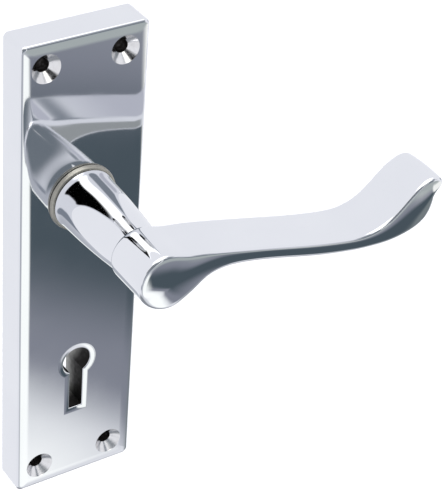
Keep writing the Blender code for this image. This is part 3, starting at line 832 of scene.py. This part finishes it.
def case_cup():
    """The pressed cup, turned, with drawn corners."""
    floor = CASE_BACK + CASE_WALL
    corners = [(CASE_HOLE, CASE_BACK, CASE_EDGE), (CASE_RADIUS, CASE_BACK, 1.3 * MM),
               (CASE_RADIUS, CASE_FRONT - CASE_EDGE, 0.0), (CASE_INSIDE, CASE_FRONT - CASE_EDGE, 0.0),
               (CASE_INSIDE, floor, 0.5 * MM), (CASE_HOLE, floor, CASE_EDGE)]
    return ring_piece("pressed_spring_case", corners, 128)


def case_brim():
    """The cup's flat brim, with rounded edges, its opening and four screw holes."""
    brim_corners = [(side * BRIM_HALF_WIDTH, end * BRIM_HALF_HEIGHT)
                    for side, end in ((1, 1), (-1, 1), (-1, -1), (1, -1))]
    soft = 0.04 * MM
    levels = [(CASE_EDGE, BRIM_LOW), (soft, BRIM_LOW + soft), (0.0, BRIM_LOW + CASE_EDGE),
              (0.0, CASE_FRONT - CASE_EDGE), (soft, CASE_FRONT - soft), (CASE_EDGE, CASE_FRONT)]
    loops = []
    for inset, height in levels:
        path = [(x - math.copysign(inset, x), y - math.copysign(inset, y), BRIM_CORNER - inset)
                for x, y in brim_corners]
        loops.append([(x, y, height) for x, y in rounded_path(path, 10)])
    brim = loft("brim", loops)
    holes = [plug("opening", CASE_INSIDE + 0.3 * MM, 0.0, 2 * CASE_FRONT, steps=128)]
    for side in (-1, 1):
        for end in (-1, 1):
            centre = (side * POST_X, end * POST_Y)
            holes.append(plug("hole", SCREW_RADIUS + 0.3 * MM, 0.0, 2 * CASE_FRONT, centre, 32))
    return combine(brim, holes)


def case_skirt():
    """The fillet where the cup's side turns out into the brim."""
    fillet = 0.5 * MM
    curve = arc(fillet, 180.0, 90.0, 6, (CASE_RADIUS + fillet, BRIM_LOW - fillet))
    top = BRIM_LOW + 0.1 * MM
    profile = [(CASE_RADIUS - 0.2 * MM, top)] + curve + [(CASE_RADIUS + fillet, top)]
    return lathe("skirt", profile, 128, closed=True)


def make_spring_case(material):
    case = case_cup()
    brim = case_brim()
    combine(case, [brim, case_skirt()], "UNION")
    finish_piece(case, AXIS, "plate", ["spring_case"], material)


def screw_mesh(name):
    """A pan-head screw along z with a fine thread, its head down, before the cross is cut."""
    steps = 24
    profile = [(0.0, SCREW_HEAD_END), (0.7 * MM, SCREW_HEAD_END + 0.03 * MM),
               (1.4 * MM, SCREW_HEAD_END + 0.14 * MM), (1.95 * MM, SCREW_HEAD_END + 0.36 * MM),
               (2.25 * MM, SCREW_HEAD_END + 0.65 * MM), (SCREW_HEAD, SCREW_HEAD_END + 0.95 * MM),
               (SCREW_HEAD, SCREW_SEAT - 0.1 * MM), (SCREW_HEAD - 0.1 * MM, SCREW_SEAT),
               (SCREW_RADIUS - THREAD_DEPTH, SCREW_SEAT)]
    length = SCREW_TIP - 0.5 * MM - SCREW_SEAT
    rows = round(length / THREAD_PITCH * 6)
    for i in range(1, rows + 1):
        profile.append((SCREW_RADIUS, SCREW_SEAT + length * i / rows))
    profile += [(0.8 * MM, SCREW_TIP), (0.0, SCREW_TIP)]
    screw = lathe(name, profile, steps)
    for vertex in screw.data.vertices:
        x, y, z = vertex.co
        if math.hypot(x, y) > SCREW_RADIUS - 0.01 * MM and SCREW_SEAT < z < SCREW_TIP - 0.6 * MM:
            turn = (z / THREAD_PITCH - math.atan2(y, x) / math.tau) % 1.0
            cut = THREAD_DEPTH * abs(2 * turn - 1)
            vertex.co.x *= 1 - cut / SCREW_RADIUS
            vertex.co.y *= 1 - cut / SCREW_RADIUS
    return screw


def screw_cross():
    """The head's two crossed slots, each narrowing as it goes in."""
    outline = [(-CROSS_ARM, -CROSS_HALF), (-CROSS_ARM, CROSS_HALF),
               (CROSS_ARM, CROSS_HALF), (CROSS_ARM, -CROSS_HALF)]
    levels = ((1.15, SCREW_HEAD_END - 1 * MM), (1.0, SCREW_HEAD_END), (0.45, SCREW_HEAD_END + 0.9 * MM))
    slots = []
    for crossways in (True, False):
        loops = []
        for scale, height in levels:
            points = [(x * scale * MM, y * (0.6 + 0.4 * scale) * MM) for x, y in outline]
            loops.append([(-y, x, height) if crossways else (x, y, height) for x, y in points])
        slots.append(loft("cross", loops))
    return slots


def make_case_screws(material):
    """Four screws in the case's posts, each stopped at its own angle."""
    number = 0
    for end in (1, -1):
        for side in (-1, 1):
            number += 1
            screw = combine(screw_mesh("pan_screw_%d" % number), screw_cross())
            spin = Matrix.Rotation(math.radians(20.0 + 37.0 * number), 4, "Z")
            place = AXIS @ Matrix.Translation((side * POST_X, end * POST_Y, 0.0)) @ spin
            finish_piece(screw, place, "plate", ["case_screw_%d" % number], material)


def spring_path():
    """The wire's centre line: a hook, the coil and a second hook."""
    low, high = COIL_SPAN
    path = [(radius, sweep) for radius, sweep in COIL_HOOK]
    path += [(COIL_RADIUS, sweep) for sweep in np.arange(15.0, COIL_SWEEP - 12.0, 6.0)]
    path += [(radius, COIL_SWEEP - sweep) for radius, sweep in COIL_HOOK[::-1]]
    points = []
    for radius, sweep in path:
        x, y = polar(radius, FIXED_LEG_ANGLE - sweep)
        points.append(Vector((x, y, low + (high - low) * sweep / COIL_SWEEP)) * MM)
    return points


def spring_wire(points):
    """A round wire along the centre line, with its two ends slightly rounded over."""
    loops = []
    last = len(points) - 1
    for i, point in enumerate(points):
        along = (points[min(i + 1, last)] - points[max(i - 1, 0)]).normalized()
        side = along.cross(Vector((0.0, 0.0, 1.0))).normalized()
        up = side.cross(along)
        sizes = [1.0]
        if i == 0:
            sizes = [0.7, 1.0]
        elif i == last:
            sizes = [1.0, 0.7]
        for size in sizes:
            ring = [point + (side * x + up * y) * size * MM for x, y in arc(WIRE_RADIUS, 0.0, 330.0, 11)]
            loops.append(ring)
    return loft("coiled_return_spring", loops)


def make_spring(material):
    """The torsion spring, hooked to the anchor pin at one end and to the cam's finger at the other."""
    spring = spring_wire(spring_path())
    spring.data.transform(AXIS)
    spring.data.materials.append(material)
    spring.data.shade_smooth()
    spring.data.set_sharp_from_angle(angle=math.radians(60.0))
    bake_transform(spring)
    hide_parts("return_spring")


# Studio

def direction(azimuth, elevation):
    """From the object towards a compass point, where azimuth 0 is the front (-Y)."""
    a, e = math.radians(azimuth), math.radians(elevation)
    return Vector((math.sin(a) * math.cos(e), -math.cos(a) * math.cos(e), math.sin(e)))


STUDIO_LIGHT = (0.93, 0.94, 0.985)
STUDIO_PATCHES = (
    # azimuth, elevation, half width, half height and turn in degrees, soft share, colour
    (0.0, 90.0, 26.0, 26.0, 0.0, 0.5, (2.6, 2.6, 2.6)),
    (0.0, -90.0, 30.0, 30.0, 0.0, 0.6, (0.28, 0.30, 0.33)),
    (0.0, 0.0, 37.0, 37.0, 0.0, 0.14, (0.20, 0.23, 0.26)),
    (0.0, -30.0, 30.0, 24.0, 0.0, 0.9, (0.55, 0.57, 0.62)),
    (16.0, 5.0, 2.5, 22.0, 0.0, 0.5, (1.1, 1.1, 1.1)),
    (-40.0, -30.0, 9.0, 10.0, 0.0, 0.5, (0.28, 0.31, 0.36)),
    (88.0, -2.0, 14.0, 10.0, 0.0, 0.8, (0.32, 0.34, 0.40)),
    (5.0, 51.0, 15.0, 8.0, 0.0, 0.35, (1.9, 1.88, 1.8)),
    (45.0, 10.0, 9.0, 7.0, 0.0, 0.5, (0.62, 0.63, 0.70)),
    (39.0, 32.0, 7.0, 14.0, 0.0, 0.4, (0.27, 0.30, 0.34)),
    (40.0, -33.0, 18.0, 8.2, 0.0, 0.25, (0.25, 0.265, 0.315)),
    (40.0, -34.2, 18.0, 3.5, 0.0, 0.8, (0.075, 0.10, 0.12)),
    (34.0, -20.0, 16.0, 7.5, 0.0, 0.6, (0.44, 0.48, 0.48)),
    (16.0, -37.0, 8.5, 11.0, 0.0, 0.3, (1.15, 1.18, 1.15)),
    (54.0, -26.0, 14.0, 6.5, 0.0, 0.5, (1.05, 1.06, 1.02)),
    (60.0, -43.0, 13.0, 9.0, 0.0, 0.5, (0.20, 0.23, 0.24)),
    (150.0, -33.0, 10.0, 12.0, 0.0, 0.5, (0.40, 0.42, 0.42)),
    (25.0, -45.0, 5.5, 4.6, 0.0, 1.0, (1.2, 1.22, 1.2)),
    (-36.0, 36.0, 24.0, 8.0, 48.0, 0.25, (0.0, 0.0, 0.0)),
)


def add_patch(tree, place, below, patch):
    """Lay one soft-edged ellipse of light or shade over the studio's colour so far."""
    azimuth, elevation, width, height, turn, softness, colour = patch
    centre = direction(azimuth, elevation)
    mapping = tree.nodes.new("ShaderNodeMapping")
    mapping.vector_type = "TEXTURE"
    mapping.inputs["Location"].default_value = centre
    facing = centre.to_track_quat("Z", "Y").to_matrix() @ Matrix.Rotation(math.radians(turn), 3, "Z")
    mapping.inputs["Rotation"].default_value = facing.to_euler()
    mapping.inputs["Scale"].default_value = (math.radians(width), math.radians(height), 1.0)
    tree.links.new(place, mapping.inputs["Vector"])
    length = tree.nodes.new("ShaderNodeVectorMath")
    length.operation = "LENGTH"
    tree.links.new(mapping.outputs["Vector"], length.inputs[0])
    edge = tree.nodes.new("ShaderNodeMapRange")
    edge.interpolation_type = "SMOOTHSTEP"
    edge.inputs["From Min"].default_value = 1.0 + softness / 2
    edge.inputs["From Max"].default_value = 1.0 - softness / 2
    tree.links.new(length.outputs["Value"], edge.inputs["Value"])
    mix = tree.nodes.new("ShaderNodeMix")
    mix.data_type = "RGBA"
    tree.links.new(edge.outputs["Result"], mix.inputs["Factor"])
    tree.links.new(below, mix.inputs["A"])
    mix.inputs["B"].default_value = (*colour, 1.0)
    return mix.outputs["Result"]


def make_studio():
    """A pale light tent with soft boxes, dark flags and the dark opening the camera looks through."""
    world = bpy.data.worlds.new("light_tent")
    bpy.context.scene.world = world
    world.use_nodes = True
    tree = world.node_tree
    place = tree.nodes.new("ShaderNodeTexCoord").outputs["Generated"]
    base = tree.nodes.new("ShaderNodeRGB")
    base.outputs[0].default_value = (*STUDIO_LIGHT, 1.0)
    colour = base.outputs[0]
    for patch in STUDIO_PATCHES:
        colour = add_patch(tree, place, colour, patch)
    tree.links.new(colour, tree.nodes["Background"].inputs["Color"])


def make_floor():
    """A plain pale floor, which the chrome does not mirror."""
    floor = block("floor", FLOOR_LOW, FLOOR_HIGH)
    floor.data.materials.append(floor_material())
    floor.visible_glossy = False


def make_camera():
    """A long lens at the photograph's viewing angle."""
    data = bpy.data.cameras.new("camera")
    data.sensor_fit = "HORIZONTAL"
    data.sensor_width = 36.0
    data.lens = CAMERA_LENS
    camera = bpy.data.objects.new("camera", data)
    back = direction(CAMERA_AZIMUTH, CAMERA_ELEVATION)
    camera.location = Vector(CAMERA_AIM) + back * CAMERA_DISTANCE
    turn = back.to_track_quat("Z", "Y").to_matrix() @ Matrix.Rotation(math.radians(CAMERA_ROLL), 3, "Z")
    camera.rotation_euler = turn.to_euler()
    bpy.context.scene.collection.objects.link(camera)
    bpy.context.scene.camera = camera


def dress(nodes, material):
    """Give CAD nodes that stay as they are their material."""
    for name in nodes:
        mesh = frame["nodes"][name].data
        mesh.materials.clear()
        mesh.materials.append(material)


make_camera()
make_studio()
make_floor()
CHROME_PLATE = chrome_material("plate_chrome", 0.035, 0.065, 0.000004)
CHROME_LEVER = chrome_material("lever_chrome", 0.015, 0.04, 0.000003)
CAST = cast_material()
RECESS = recess_material()
KEYHOLE_WALL = keyhole_wall_material()
MACHINED = machined_material()
SATIN = satin_material()
ZINC = zinc_material("zinc_steel", (0.62, 0.62, 0.60), (0.50, 0.52, 0.55))
SCREW = zinc_material("screw_steel", (0.60, 0.58, 0.50), (0.45, 0.45, 0.42))
SPRING = spring_material()
NYLON = nylon_material()
make_backplate(CHROME_PLATE, CAST, RECESS, MACHINED, KEYHOLE_WALL)
make_collar(SATIN)
make_lever(CHROME_LEVER, CAST)
make_rear_bush(NYLON)
make_spring_case(ZINC)
make_case_screws(SCREW)
make_spring(SPRING)
dress(["front_bush"], NYLON)
dress(["drive_cam", "rest_stop_pin", "travel_stop_pin", "spring_anchor_pin"], ZINC)
dress(["wave_washer", "circlip"], SPRING)
bpy.context.scene.view_settings.view_transform = "Standard"
